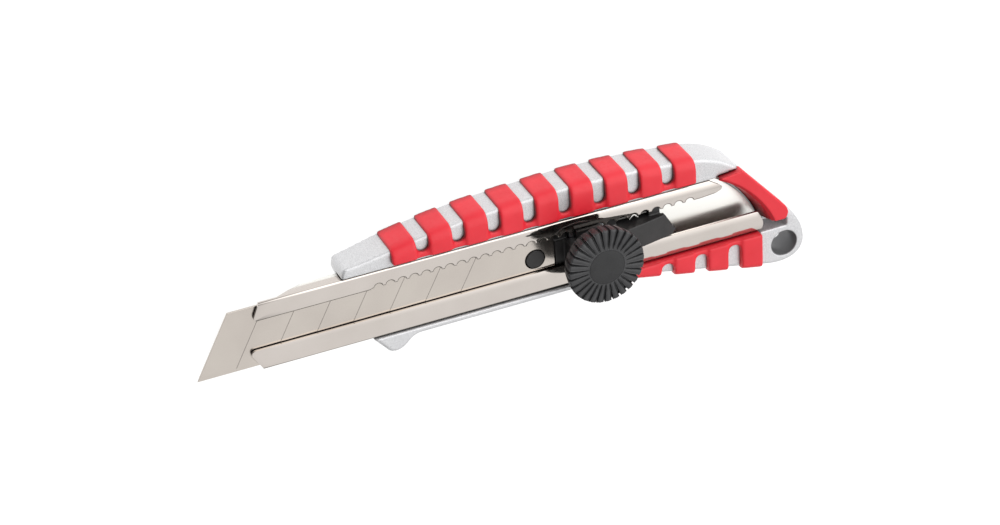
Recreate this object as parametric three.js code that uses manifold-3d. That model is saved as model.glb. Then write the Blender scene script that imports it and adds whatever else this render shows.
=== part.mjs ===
// Snap-off utility knife with a screw lock: cast handle with soft grips, folded steel blade
// channel, scored blade, plastic slider with a detent spring, and a fluted locking knob.
//
// Design frame, in millimetres: X runs from the blade's tip to the tail, Y from the cutting edge
// to the spine, Z from the blade's flat face to the knob. The finished group is shifted so that
// its origin is the middle of the footprint, on the surface that the knife lies on.

import * as THREE from 'three';
import { mergeVertices } from 'three/addons/utils/BufferGeometryUtils.js';
import Module from 'manifold-3d';

const wasm = await Module();
wasm.setup();

// ---- driving dimensions ----
const GAP = 0.3; // running clearance between neighbours
const FIT = 0.1; // clearance between pieces fixed to each other

const BLADE_LENGTH = 100;
const BLADE_WIDTH = 18;
const BLADE_THICK = 0.5;
const BLADE_ANGLE = THREE.MathUtils.degToRad(61);
const SEGMENT = 10; // spacing of the score lines
const SEGMENTS = 9;
const BEVEL = 1.3; // width of the ground cutting edge
const SCORE_WIDTH = 0.18;
const SCORE_DEPTH = 0.12;
const PEG_X = 94.5;
const PEG_Y = BLADE_WIDTH / 2;
const PEG_HOLE_R = 2.9;

const SHEET = 0.65; // channel steel
const CHANNEL_Y0 = -1.0;
const CHANNEL_Y1 = 19.1;
const INNER_Y0 = CHANNEL_Y0 + SHEET + GAP; // what slides in the channel lies between these
const INNER_Y1 = CHANNEL_Y1 - SHEET - GAP;
const LIP_TOP = 1.0;
const LIP_UNDER = LIP_TOP - SHEET;
const CHANNEL_BACK = -3.9;
const NOSE_BACK = -3.2; // the channel is shallower at its mouth
const LOWER_LIP_Y = 5.25;
const UPPER_LIP_Y = 14.3;
const NOTCH_PITCH = 3.3;
const NOTCH_COUNT = 28;
const NOTCH_X0 = 50.4;
const NOTCH_R = 1.25;
const NOTCH_DEPTH = 1.0;

const BODY_FRONT = 1.4;
const BODY_BACK = -9.2;
const BODY_EDGE = 1.2;
const RAIL_Y = -3.0; // underside of the rail along the channel
const POCKET_FLOOR = CHANNEL_BACK - GAP;
const CORE_FLOOR = -7.9;
const GRIP_FRONT = 3.1;
const GRIP_PROUD = 0.8;
const TAIL_BACK = -0.5;
const TAIL_EDGE = 0.6;
const SKIRT_TOP = 2.3;
const SKIRT_SHARE = 0.44;
const SKIRT_STEPS = 10;
const SKIRT_ROOT = [[164.4, 2.2], [162.8, 7.6], [156.9, 16.1], [148.2, 19.6]];
const SKIRT_WALL = [[163.6, 1.7], [161.6, 6.9], [155.8, 15.4], [147.4, 19.1]];
const SKIRT_FOOT = [[161.9, 1.0], [160.4, 5.4], [156.4, 12.2], [149.9, 16.7]];
const LUG_PROUD = 0.3; // the lower bands thin out towards the lug
const GRIP_EDGE = 1.1;
const GRIP_BACK = BODY_BACK + 0.5; // the soft bands stop short of the back face
const UPPER_GRIP = { x0: 54.2, x1: 140.8, edgeY: 20.3 };
const UPPER_SLOTS = { first: 62.6, pitch: 9.98, count: 8, width: 3.2, endY: 22.1 };
const LOWER_GRIP = { x0: 121, x1: 160.3, edgeY: -1.4 };
const LOWER_SLOTS = { first: 131.8, pitch: 10.05, count: 3, width: 3.9, endY: -2.5 };

const LUG_X = 167.5;
const LUG_Y = -6.8;
const LUG_HOLE_R = 3.75;
const LUG_HOLE_BACK_R = 3.2; // the cast hole is drafted
const LUG_BACK = -6.8;

const KNOB_X = 109.6;
const KNOB_Y = PEG_Y;
const KNOB_R = 10.9;
const KNOB_BASE = 7.8;
const KNOB_FACE = 12.5;
const KNOB_FLUTES = 28;
const PEDESTAL_TOP = 4.6;
const BOLT_R = 2.4;
const HUB_R = 6.2;
const CAP_R = 5.0;
const CAP_SEAT_R = CAP_R - 0.6;
const CAP_Z0 = 11.5;
const CAP_PROUD = 0.3;
const WASHER_R = 6.6;
const WASHER_Z0 = PEDESTAL_TOP + FIT;
const WASHER_Z1 = WASHER_Z0 + 0.7;
const HUB_Z0 = WASHER_Z1 + FIT;
const INSERT_R = 3.6;

const PLATE_X0 = 104.6; // clamp plate under the lips
const PLATE_X1 = 114.8;
const PLATE_Z0 = -1.3;
const PLATE_Z1 = 0.05;
const NECK_Y0 = LOWER_LIP_Y + GAP; // the slider's neck between the lips
const NECK_Y1 = 12.6;
const NECK_X0 = 103.2;
const BRIDGE_X0 = 100.4; // behind the blade's tail, between the tongue and the neck
const BRIDGE_X1 = 104.2;
const FLANGE = { x0: 106, x1: 113.2, y0: 3.2, y1: 15.2, top: 2.2 };
const FOOT_X0 = 115.3;
const FOOT_X1 = 131;
const SPRING_Y = 13.5;
const SPRING_NOTCH = 22; // the notch that the spring's crown rests in
const SPRING_THICK = 0.4;

const RIVET_X = [50, 82];
const RIVET_R = 1.4;
const RIVET_HEAD_R = 2.4;

// ---- solids ----
function toSolid(geometry) {
  geometry.deleteAttribute('normal');
  geometry.deleteAttribute('uv');
  const merged = mergeVertices(geometry, 1e-4);
  const vertProperties = new Float32Array(merged.attributes.position.array);
  const triVerts = new Uint32Array(merged.index.array);
  return new wasm.Manifold(new wasm.Mesh({ numProp: 3, vertProperties, triVerts }));
}

function toMesh(name, solid, look) {
  const { vertProperties, triVerts } = solid.getMesh();
  const geometry = new THREE.BufferGeometry();
  geometry.setAttribute('position', new THREE.BufferAttribute(vertProperties, 3));
  geometry.setIndex(new THREE.BufferAttribute(triVerts, 1));
  geometry.computeVertexNormals();
  const mesh = new THREE.Mesh(geometry, new THREE.MeshStandardMaterial(look));
  mesh.name = name;
  return mesh;
}

// A flat outline raised from z0 to z1, with its rims rounded over by edge.
function slab(shape, z0, z1, edge = 0, steps = 2, curveSegments = 6) {
  const geometry = new THREE.ExtrudeGeometry(shape, {
    depth: z1 - z0 - 2 * edge,
    curveSegments,
    bevelEnabled: edge > 0,
    bevelThickness: edge,
    bevelSize: edge,
    bevelOffset: -edge,
    bevelSegments: steps,
  });
  geometry.translate(0, 0, z0 + edge);
  return toSolid(geometry);
}

// An outline drawn in X and Z, extruded along Y from y0 to y1.
function sideSlab(points, y0, y1) {
  const shape = new THREE.Shape(points.map(([x, z]) => new THREE.Vector2(x, z)));
  const geometry = new THREE.ExtrudeGeometry(shape, { depth: y1 - y0, bevelEnabled: false });
  geometry.rotateX(Math.PI / 2);
  geometry.translate(0, y1, 0);
  return toSolid(geometry);
}

function box(x0, x1, y0, y1, z0, z1) {
  const geometry = new THREE.BoxGeometry(x1 - x0, y1 - y0, z1 - z0);
  geometry.translate((x0 + x1) / 2, (y0 + y1) / 2, (z0 + z1) / 2);
  return toSolid(geometry);
}

function disc(x, y, radius, z0, z1, sides = 32) {
  const geometry = new THREE.CylinderGeometry(radius, radius, z1 - z0, sides);
  geometry.rotateX(Math.PI / 2);
  geometry.translate(x, y, (z0 + z1) / 2);
  return toSolid(geometry);
}

// A turned solid about the Z line through (x, y); the profile is [radius, z] from axis to axis.
function turned(x, y, profile, sides = 32) {
  const points = profile.map(([radius, z]) => new THREE.Vector2(radius, z));
  const geometry = new THREE.LatheGeometry(points, sides);
  geometry.rotateX(Math.PI / 2);
  geometry.translate(x, y, 0);
  return toSolid(geometry);
}

function polyPoints(points) {
  return points.map(([x, y]) => new THREE.Vector2(x, y));
}

function polygon(points) {
  return new THREE.Shape(polyPoints(points));
}

// ---- outlines ----
// The spine's height above the cutting edge along the handle.
const SPINE = [
  [45.5, 22.7], [54, 24.1], [64, 25.9], [74, 27.2], [84, 28.0], [94, 28.5], [104, 28.9],
  [114, 28.8], [124, 28.4], [134, 27.5], [142, 26.6], [148.5, 24.5], [153.2, 21.6],
];

// The handle's outline, grown by `grow` on its spine, tail and rail, and by `low` below the lug.
function handleShape(grow = 0, low = grow) {
  const shape = new THREE.Shape();
  shape.moveTo(47.5, CHANNEL_Y0);
  shape.lineTo(40.6, CHANNEL_Y1 + GAP);
  shape.lineTo(40.9, 21.2 + grow);
  shape.quadraticCurveTo(41.1, 22.2 + grow, 42.4, 22.35 + grow);
  shape.lineTo(SPINE[0][0], SPINE[0][1] + grow);
  shape.splineThru(SPINE.slice(1).map(([x, y]) => new THREE.Vector2(x, y + grow)));
  shape.lineTo(169.8 + grow, 2.9 + grow);
  shape.quadraticCurveTo(173.6 + grow, -1.9, 173.7 + grow, -6.6);
  shape.bezierCurveTo(173.7 + grow, -11.0 - low, 169.5, -13.9 - low, 162, -12.2 - low);
  shape.lineTo(119, RAIL_Y - grow);
  shape.lineTo(61, RAIL_Y - grow);
  shape.bezierCurveTo(57.5, RAIL_Y - grow, 57.0, -6.6 - grow, 53.6, -6.6 - grow);
  shape.quadraticCurveTo(51.9, -6.6 - grow, 51.0, -5.2);
  shape.closePath();
  return shape;
}

// The hollow that the channel lies in, with the scoop behind the channel's rear end.
function pocketShape() {
  const shape = new THREE.Shape();
  shape.moveTo(30, CHANNEL_Y0 - GAP);
  shape.lineTo(168.4, CHANNEL_Y0 - GAP);
  shape.lineTo(168.4, 1.4);
  shape.lineTo(163.8, 1.6);
  shape.bezierCurveTo(161.8, 7.0, 156.0, 15.6, 147.4, CHANNEL_Y1 + GAP);
  shape.lineTo(30, CHANNEL_Y1 + GAP);
  shape.closePath();
  return shape;
}

// The tail grip's outer edge, along the slope behind the channel.
function tailEdge(grow) {
  const shape = new THREE.Shape();
  shape.moveTo(147.6 - grow, 19.7 + grow);
  shape.lineTo(154.6, 20.5 + grow);
  shape.lineTo(167.2 + grow, 6.1 + grow);
  shape.quadraticCurveTo(169.0 + grow, 3.4, 167.0 + grow, 1.9 - grow);
  shape.lineTo(164.0, 1.9 - grow);
  return shape;
}

function tailShape() {
  const shape = tailEdge(0);
  shape.bezierCurveTo(162.0, 7.2, 156.3, 15.6, 147.6, 19.7);
  return shape;
}

// The seat for the tail grip, open towards the pocket.
function tailSeat() {
  const shape = tailEdge(GAP);
  shape.lineTo(150, 8);
  shape.closePath();
  return shape;
}

// A slot between two bands, with its round end at y and its mouth beyond the outline.
function bandSlot(x, y, width, up) {
  const r = width / 2;
  const far = up ? 60 : -60;
  const shape = new THREE.Shape();
  shape.moveTo(x - r, far);
  shape.lineTo(x - r, y);
  shape.absarc(x, y, r, Math.PI, up ? 2 * Math.PI : 0, !up);
  shape.lineTo(x + r, far);
  shape.closePath();
  return shape;
}

// ---- handle ----
// What is cut away behind the tail, which thins towards the lug.
function backTaper() {
  return sideSlab([[150, -20], [150, BODY_BACK - 0.5], [159, LUG_BACK], [190, LUG_BACK], [190, -20]],
    -40, 60);
}

// What is cut away behind the nose, which thins towards the blade's tip.
function noseTaper() {
  return sideSlab([[30, -20], [30, -5.8], [57, BODY_BACK - 0.1], [57, -20]], -40, 60);
}

function lugHole() {
  return turned(LUG_X, LUG_Y, [
    [0, LUG_BACK - 1], [LUG_HOLE_BACK_R, LUG_BACK - 1], [LUG_HOLE_BACK_R, LUG_BACK], [LUG_HOLE_R, BODY_FRONT],
    [LUG_HOLE_R, 10], [0, 10],
  ], 48);
}

function handleBody() {
  const cores = [box(57, 75, 2, 16.5, CORE_FLOOR, 0), box(89, 140, 2, 16.5, CORE_FLOOR, 0)];
  let body = slab(handleShape(), BODY_BACK, BODY_FRONT, BODY_EDGE);
  body = body.subtract(slab(pocketShape(), POCKET_FLOOR, 10));
  body = body.subtract(slab(tailSeat(), -0.6, 10));
  body = body.subtract(lugHole());
  body = body.subtract(backTaper()).subtract(noseTaper());
  cores.forEach((core) => {
    body = body.subtract(core);
  });
  RIVET_X.forEach((x) => {
    body = body.subtract(disc(x, PEG_Y, RIVET_R + FIT, CORE_FLOOR, 0, 20));
  });
  return body;
}

// A soft sleeve over the handle's front and rim between x0 and x1.
function sleeve(x0, x1, y0, y1, low) {
  const outer = slab(handleShape(GRIP_PROUD, low), GRIP_BACK, GRIP_FRONT, GRIP_EDGE);
  const inner = slab(handleShape(FIT), BODY_BACK - FIT, BODY_FRONT + FIT, BODY_EDGE);
  const reach = box(x0, x1, y0, y1, -30, 30);
  return outer.intersect(reach).subtract(inner);
}

function cutSlots(solid, slots, up) {
  let cut = solid;
  const middleY = slots.endY + (up ? 1 : -1) * slots.width / 2;
  for (let i = 0; i < slots.count; i += 1) {
    cut = cut.subtract(slab(bandSlot(slots.first + i * slots.pitch, middleY, slots.width, up), -30, 30));
  }
  return cut;
}

function upperGrip() {
  const { x0, x1, edgeY } = UPPER_GRIP;
  return cutSlots(sleeve(x0, x1, edgeY, 60, GRIP_PROUD), UPPER_SLOTS, true);
}

function lowerGrip() {
  const { x0, x1, edgeY } = LOWER_GRIP;
  return cutSlots(sleeve(x0, x1, -60, edgeY, LUG_PROUD).subtract(backTaper()), LOWER_SLOTS, false);
}

// The tail grip's inner wall slopes down from its face to the pocket floor, round the channel's end.
function tailSkirt() {
  const [root, wall, foot] = [SKIRT_ROOT, SKIRT_WALL, SKIRT_FOOT].map((points) => (
    new THREE.CubicBezierCurve(...polyPoints(points)).getPoints(SKIRT_STEPS)
  ));
  const slope = wall.map((point, k) => point.clone().lerp(foot[k], SKIRT_SHARE));
  const low = POCKET_FLOOR + FIT;
  const pieces = [];
  for (let i = 0; i < SKIRT_STEPS; i += 1) {
    const corners = (...pairs) => [i, i + 1].flatMap((k) => pairs.map(([row, z]) => [row[k].x, row[k].y, z]));
    pieces.push(wasm.Manifold.hull(corners([root, SKIRT_TOP], [root, TAIL_BACK], [wall, SKIRT_TOP],
      [slope, TAIL_BACK])));
    pieces.push(wasm.Manifold.hull(corners([wall, TAIL_BACK], [slope, TAIL_BACK], [wall, low], [foot, low])));
  }
  return wasm.Manifold.union(pieces);
}

function tailGrip() {
  return slab(tailShape(), TAIL_BACK, GRIP_FRONT, TAIL_EDGE).add(tailSkirt());
}

// ---- blade channel ----
function channelProfile(inset) {
  const back = CHANNEL_BACK + inset;
  const nose = NOSE_BACK + inset;
  return [[10, nose], [32, nose], [44, back], [170, back], [170, LIP_TOP - inset], [10, LIP_TOP - inset]];
}

function channelEnds() {
  const shape = new THREE.Shape();
  shape.moveTo(18.2, CHANNEL_Y1);
  shape.lineTo(16.6, 15.3);
  shape.quadraticCurveTo(16.3, 14.0, 17.5, 14.0);
  shape.lineTo(20, 14.0);
  shape.lineTo(20, 5.25);
  shape.lineTo(16.3, 5.25);
  shape.quadraticCurveTo(14.6, 5.2, 14.9, 3.8);
  shape.lineTo(17.7, CHANNEL_Y0);
  shape.lineTo(160.4, CHANNEL_Y0);
  shape.quadraticCurveTo(161.9, 0.6, 161.0, 2.6);
  shape.quadraticCurveTo(157.5, 10.5, 149.6, 16.2);
  shape.lineTo(145, CHANNEL_Y1);
  shape.closePath();
  return shape;
}

function lipWindow() {
  const shape = new THREE.Shape();
  shape.moveTo(0, LOWER_LIP_Y);
  shape.lineTo(159.0, LOWER_LIP_Y);
  shape.quadraticCurveTo(161.4, 5.0, 161.6, 2.4);
  shape.lineTo(180, 2.4);
  shape.lineTo(180, 20);
  shape.lineTo(144.8, 20);
  shape.lineTo(149.2, 16.2);
  shape.quadraticCurveTo(149.2, 14.9, 146.5, 14.6);
  shape.lineTo(142.6, UPPER_LIP_Y);
  shape.lineTo(48.6, UPPER_LIP_Y);
  shape.lineTo(48.6, 14.0);
  shape.lineTo(0, 14.0);
  shape.closePath();
  return shape;
}

function bladeChannel() {
  const tube = sideSlab(channelProfile(0), CHANNEL_Y0, CHANNEL_Y1);
  const inside = sideSlab(channelProfile(SHEET), CHANNEL_Y0 + SHEET, CHANNEL_Y1 - SHEET);
  const mouth = box(0, 12, CHANNEL_Y0 + SHEET, CHANNEL_Y1 - SHEET, NOSE_BACK + SHEET, LIP_UNDER);
  const noseCut = sideSlab([
    [0, -9], [33, -9], [32, NOSE_BACK - 0.1], [27, -1.5], [23.2, LIP_UNDER - 0.1], [0, LIP_UNDER - 0.1],
  ], -10, 30);
  let channel = tube.subtract(inside).subtract(mouth);
  channel = channel.intersect(slab(channelEnds(), -20, 20));
  channel = channel.subtract(slab(lipWindow(), LIP_UNDER - 0.1, 20));
  channel = channel.subtract(noseCut);
  for (let i = 0; i < NOTCH_COUNT; i += 1) {
    const x = NOTCH_X0 + i * NOTCH_PITCH;
    const y = UPPER_LIP_Y + NOTCH_DEPTH - NOTCH_R;
    channel = channel.subtract(disc(x, y, NOTCH_R, LIP_UNDER - 0.1, 5, 16));
  }
  RIVET_X.forEach((x) => {
    channel = channel.subtract(rivetCone(x, FIT));
  });
  return channel;
}

// The countersunk head that sits flush in the channel's back wall.
function rivetCone(x, grow) {
  const top = CHANNEL_BACK + SHEET;
  return turned(x, PEG_Y, [
    [0, CHANNEL_BACK - 0.2], [RIVET_R + grow, CHANNEL_BACK - 0.2], [RIVET_R + grow, CHANNEL_BACK],
    [RIVET_HEAD_R + 2.5 * grow, top + grow / 2], [0, top + grow / 2],
  ], 20);
}

function channelRivet(x) {
  const top = CHANNEL_BACK + SHEET - 0.05;
  return turned(x, PEG_Y, [
    [0, CORE_FLOOR + GAP], [RIVET_R, CORE_FLOOR + GAP], [RIVET_R, CHANNEL_BACK], [RIVET_HEAD_R, top],
    [0, top],
  ], 20);
}

// ---- blade ----
function blade() {
  const lean = BLADE_WIDTH / Math.tan(BLADE_ANGLE);
  const outline = polygon([[0, 0], [BLADE_LENGTH, 0], [BLADE_LENGTH, BLADE_WIDTH], [lean, BLADE_WIDTH]]);
  let strip = slab(outline, -BLADE_THICK, 0);
  [1, -1].forEach((side) => {
    const middle = -BLADE_THICK / 2;
    const tip = middle + side * 0.03;
    const face = middle + side * BLADE_THICK / 2;
    const beyond = middle + side * 2;
    const points = [[-1, tip], [0, tip], [BEVEL, face], [BEVEL, beyond], [-1, beyond]];
    const shape = polygon(side > 0 ? points : points.reverse());
    const geometry = new THREE.ExtrudeGeometry(shape, { depth: 200, bevelEnabled: false });
    geometry.rotateX(Math.PI / 2);
    geometry.rotateZ(Math.PI / 2);
    geometry.translate(150, 0, 0);
    strip = strip.subtract(toSolid(geometry));
  });
  for (let i = 1; i < SEGMENTS; i += 1) {
    strip = strip.subtract(scoreLine(i * SEGMENT));
  }
  return strip.subtract(disc(PEG_X, PEG_Y, PEG_HOLE_R, -5, 5));
}

// A shallow groove across the blade, parallel to its slanted tip, that a segment snaps off at.
function scoreLine(x) {
  const lean = BLADE_WIDTH / Math.tan(BLADE_ANGLE);
  const half = SCORE_WIDTH / 2;
  const run = lean / BLADE_WIDTH;
  const outline = polygon([
    [x - half - run, -1], [x + half - run, -1], [x + half + lean + run, BLADE_WIDTH + 1],
    [x - half + lean + run, BLADE_WIDTH + 1],
  ]);
  return slab(outline, -SCORE_DEPTH, 1);
}

// ---- slider ----
function slider() {
  const parts = [
    tongue(),
    disc(PEG_X, PEG_Y, PEG_HOLE_R - GAP, -1, 0.25, 28),
    box(BRIDGE_X0, BRIDGE_X1, NECK_Y0, NECK_Y1, -1.4, LIP_UNDER),
    pedestal(),
    box(FLANGE.x0, FLANGE.x1, FLANGE.y0, FLANGE.y1, LIP_TOP + FIT, FLANGE.top),
    box(FOOT_X0, FOOT_X1, INNER_Y0, INNER_Y1, -2.9, LIP_UNDER - GAP),
  ];
  let body = parts.reduce((sum, part) => sum.add(part));
  body = body.subtract(disc(KNOB_X, KNOB_Y, BOLT_R + FIT, -5, 20));
  return body.subtract(springPocket());
}

function tongue() {
  const shape = new THREE.Shape();
  shape.moveTo(BRIDGE_X1, 4);
  shape.lineTo(BRIDGE_X1, 14);
  shape.lineTo(PEG_X, 14);
  shape.absarc(PEG_X, PEG_Y, 5, Math.PI / 2, 3 * Math.PI / 2, false);
  shape.closePath();
  return slab(shape, -1.4, -BLADE_THICK - FIT);
}

// The raised part under the knob, and the thumb ramp that falls away behind it.
function pedestal() {
  const under = PLATE_Z1 + FIT;
  const ramp = sideSlab([
    [NECK_X0, under], [FOOT_X0, under], [FOOT_X0, -1], [FOOT_X1, -1], [FOOT_X1, under], [135.2, under],
    [135.2, LIP_TOP], [134, LIP_TOP], [116.6, PEDESTAL_TOP], [104.0, PEDESTAL_TOP], [NECK_X0, 3.8],
  ], NECK_Y0, NECK_Y1);
  const end = polygon([
    [90, 0], [133.9, 0], [133.9, NECK_Y0], [135.2, 7.0], [131.9, NECK_Y1], [131.9, 20], [90, 20],
  ]);
  return ramp.intersect(slab(end, -5, 20));
}

function springPocket() {
  return box(118.2, 127.8, NECK_Y1, 15.6, -2.4, 10);
}

// A flat arch of spring steel on edge; its crown seats in one of the lip's notches.
function detentSpring() {
  const shape = new THREE.Shape();
  const crown = NOTCH_X0 + SPRING_NOTCH * NOTCH_PITCH;
  const y = SPRING_Y;
  const thick = SPRING_THICK;
  shape.moveTo(crown - 4.4, y);
  shape.lineTo(crown - 1.6, y);
  shape.quadraticCurveTo(crown - 0.9, y, crown - 0.6, y + 0.6);
  shape.quadraticCurveTo(crown, y + 1.55, crown + 0.6, y + 0.6);
  shape.quadraticCurveTo(crown + 0.9, y, crown + 1.6, y);
  shape.lineTo(crown + 4.4, y);
  shape.lineTo(crown + 4.4, y + thick);
  shape.lineTo(crown + 1.6, y + thick);
  shape.quadraticCurveTo(crown + 1.2, y + thick, crown + 0.85, y + 0.95);
  shape.quadraticCurveTo(crown, y + 2.15, crown - 0.85, y + 0.95);
  shape.quadraticCurveTo(crown - 1.2, y + thick, crown - 1.6, y + thick);
  shape.lineTo(crown - 4.4, y + thick);
  shape.closePath();
  return slab(shape, -2.2, LIP_TOP - 0.1);
}

function clampPlate() {
  const plate = box(PLATE_X0, PLATE_X1, INNER_Y0, INNER_Y1, PLATE_Z0, PLATE_Z1);
  return plate.subtract(disc(KNOB_X, KNOB_Y, BOLT_R + FIT, -5, 5));
}

function lockBolt() {
  const head = box(KNOB_X - 3.5, KNOB_X + 3.5, KNOB_Y - 3.5, KNOB_Y + 3.5, -2.8, PLATE_Z0 - 0.05);
  return head.add(disc(KNOB_X, KNOB_Y, BOLT_R, -2, 10.8));
}

// ---- locking knob ----
function lockWasher() {
  const hole = disc(KNOB_X, KNOB_Y, BOLT_R + FIT, 0, 20);
  return disc(KNOB_X, KNOB_Y, WASHER_R, WASHER_Z0, WASHER_Z1).subtract(hole);
}

function knob() {
  const face = KNOB_FACE + CAP_PROUD;
  let body = turned(KNOB_X, KNOB_Y, [
    [0, HUB_Z0], [HUB_R, HUB_Z0], [HUB_R, KNOB_BASE], [KNOB_R - 0.8, KNOB_BASE], [KNOB_R, KNOB_BASE + 0.6],
    [KNOB_R, KNOB_FACE - 0.6], [KNOB_R - 0.5, KNOB_FACE - 0.1], [CAP_R, face], [0, face],
  ], 3 * KNOB_FLUTES);
  for (let i = 0; i < KNOB_FLUTES; i += 1) {
    body = body.subtract(flute(i * 2 * Math.PI / KNOB_FLUTES));
  }
  body = body.subtract(disc(KNOB_X, KNOB_Y, INSERT_R + FIT, 0, CAP_Z0 - 0.2));
  return body.subtract(disc(KNOB_X, KNOB_Y, CAP_SEAT_R, CAP_Z0 - 0.4, 20));
}

function flute(angle) {
  const reach = KNOB_R + 0.1;
  return disc(KNOB_X + reach * Math.cos(angle), KNOB_Y + reach * Math.sin(angle), 0.5, 0, 20, 6);
}

function knobInsert() {
  const sleeveOfBrass = disc(KNOB_X, KNOB_Y, INSERT_R, HUB_Z0 + 0.05, CAP_Z0 - 0.7);
  return sleeveOfBrass.subtract(disc(KNOB_X, KNOB_Y, BOLT_R + FIT, 0, 20));
}

function knobCap() {
  return disc(KNOB_X, KNOB_Y, CAP_SEAT_R - FIT, CAP_Z0 - 0.3, KNOB_FACE + CAP_PROUD + 0.05);
}

// ---- looks ----
const SILVER = { color: 0xdcdcdc, roughness: 0.35, metalness: 0.6 };
const RED = { color: 0xd81f2c, roughness: 0.55, metalness: 0 };
const STEEL = { color: 0xc9c1ba, roughness: 0.22, metalness: 1 };
const BLADE_STEEL = { color: 0xc4bbb2, roughness: 0.35, metalness: 1 };
const BLACK = { color: 0x2b2a2a, roughness: 0.5, metalness: 0 };
const SPRING_STEEL = { color: 0xd0cdc8, roughness: 0.25, metalness: 1 };
const ZINC_STEEL = { color: 0xa9a9ac, roughness: 0.4, metalness: 1 };
const BRASS = { color: 0xb58a3c, roughness: 0.35, metalness: 1 };

const PIECES = [
  ['handle_body', handleBody(), SILVER],
  ['upper_grip', upperGrip(), RED],
  ['lower_grip', lowerGrip(), RED],
  ['tail_grip', tailGrip(), RED],
  ['blade_channel', bladeChannel(), STEEL],
  ['channel_rivet_front', channelRivet(RIVET_X[0]), ZINC_STEEL],
  ['channel_rivet_rear', channelRivet(RIVET_X[1]), ZINC_STEEL],
  ['blade', blade(), BLADE_STEEL],
  ['slider', slider(), BLACK],
  ['detent_spring', detentSpring(), SPRING_STEEL],
  ['clamp_plate', clampPlate(), ZINC_STEEL],
  ['lock_bolt', lockBolt(), ZINC_STEEL],
  ['lock_washer', lockWasher(), ZINC_STEEL],
  ['knob', knob(), BLACK],
  ['knob_insert', knobInsert(), BRASS],
  ['knob_cap', knobCap(), BLACK],
];

const knife = new THREE.Group();
PIECES.forEach(([name, solid, look]) => {
  knife.add(toMesh(name, solid, look));
});
const footprint = new THREE.Box3().setFromObject(knife);
const middle = footprint.getCenter(new THREE.Vector3());
knife.position.set(-middle.x, -middle.y, -footprint.min.z);
knife.updateMatrixWorld(true);

export default knife;
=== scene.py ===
import math

import bmesh
import bpy
from mathutils import Matrix, Vector


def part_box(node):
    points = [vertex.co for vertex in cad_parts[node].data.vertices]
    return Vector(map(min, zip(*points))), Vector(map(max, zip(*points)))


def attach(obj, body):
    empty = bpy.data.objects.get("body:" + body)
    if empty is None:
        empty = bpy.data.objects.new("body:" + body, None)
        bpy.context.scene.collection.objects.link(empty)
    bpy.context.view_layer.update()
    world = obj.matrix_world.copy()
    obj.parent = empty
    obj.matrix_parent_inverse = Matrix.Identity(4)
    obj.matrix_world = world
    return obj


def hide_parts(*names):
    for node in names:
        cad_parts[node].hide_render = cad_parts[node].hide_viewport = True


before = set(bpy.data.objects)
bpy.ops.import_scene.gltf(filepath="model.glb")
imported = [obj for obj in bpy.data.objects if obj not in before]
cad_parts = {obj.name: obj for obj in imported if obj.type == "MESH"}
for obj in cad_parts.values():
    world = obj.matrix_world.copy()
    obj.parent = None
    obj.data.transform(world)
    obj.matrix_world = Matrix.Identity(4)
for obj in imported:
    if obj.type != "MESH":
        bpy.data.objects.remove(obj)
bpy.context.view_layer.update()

# ---- the design frame ----
# Shapes are drawn in millimetres: X from the blade's tip to the tail, Y from the cutting edge to the
# spine, Z from the blade's flat face to the knob. finish() puts a finished mesh in the CAD's frame.
MM = 0.001
TIP_LOW, TIP_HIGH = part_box("blade")
ORIGIN = Vector((TIP_LOW.x, TIP_LOW.y, TIP_HIGH.z))


def span(node):
    """A CAD node's lowest and highest corners in the design frame."""
    low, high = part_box(node)
    return (low - ORIGIN) / MM, (high - ORIGIN) / MM


def at(x, y, z):
    return ORIGIN + Vector((x, y, z)) * MM


BLADE_LOW, BLADE_HIGH = span("blade")
CHANNEL_LOW, CHANNEL_HIGH = span("blade_channel")
BODY_LOW, BODY_HIGH = span("handle_body")
UPPER_LOW, UPPER_HIGH = span("upper_grip")
LOWER_LOW, LOWER_HIGH = span("lower_grip")
KNOB_LOW, KNOB_HIGH = span("knob")
CAP_LOW = span("knob_cap")[0]
WASHER_LOW, WASHER_HIGH = span("lock_washer")
INSERT_LOW, INSERT_HIGH = span("knob_insert")
PLATE_LOW, PLATE_HIGH = span("clamp_plate")
BOLT_LOW, BOLT_HIGH = span("lock_bolt")
SPRING_LOW, SPRING_HIGH = span("detent_spring")

GAP = 0.3  # clearance between neighbours
SHEET = 0.65
FOLD = 0.7  # the folded sheet's outer radius
LIP_UNDER = CHANNEL_HIGH.z - SHEET
LOWER_LIP_Y = 5.25
UPPER_LIP_Y = 14.3
NOSE_BACK = -3.2
NOTCH_PITCH = 3.3
NOTCH_COUNT = 28
NOTCH_X0 = 50.4
NOTCH_R = 1.25
NOTCH_RISE = 0.25  # from a notch's centre up to the lip's edge line

BODY_FRONT = BODY_HIGH.z
BODY_BACK = BODY_LOW.z
BODY_ROUND = 0.9
POCKET_FLOOR = CHANNEL_LOW.z - GAP
RAIL_Y = -3.0
GRIP_FRONT = UPPER_HIGH.z
GRIP_PROUD = 0.8
GRIP_ROUND = 3.2
BELLY_ROUND = 1.8
GRIP_BACK_ROUND = 0.3
GRIP_BACK = BODY_BACK + 0.5
GRIP_SUNK = 0.4  # the soft grip is moulded this far into the casting
LINING_BACK = 0.2  # the lower grip wraps the casting's edge down to here, along the channel
LUG_PROUD = 0.3
UPPER_SLOTS = {"first": 62.85, "pitch": 9.98, "count": 8, "width": 3.5, "end": 22.1}
LOWER_SLOTS = {"first": 131.8, "pitch": 10.05, "count": 3, "width": 3.9, "end": -2.5}
TAIL_BACK = -0.5
SKIRT_SHARE = 0.44
SKIRT_ROOT = [(164.4, 2.2), (162.8, 7.6), (156.9, 16.1), (148.2, 19.6)]
SKIRT_WALL = [(163.6, 1.7), (161.6, 6.9), (155.8, 15.4), (147.4, 19.1)]
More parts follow.
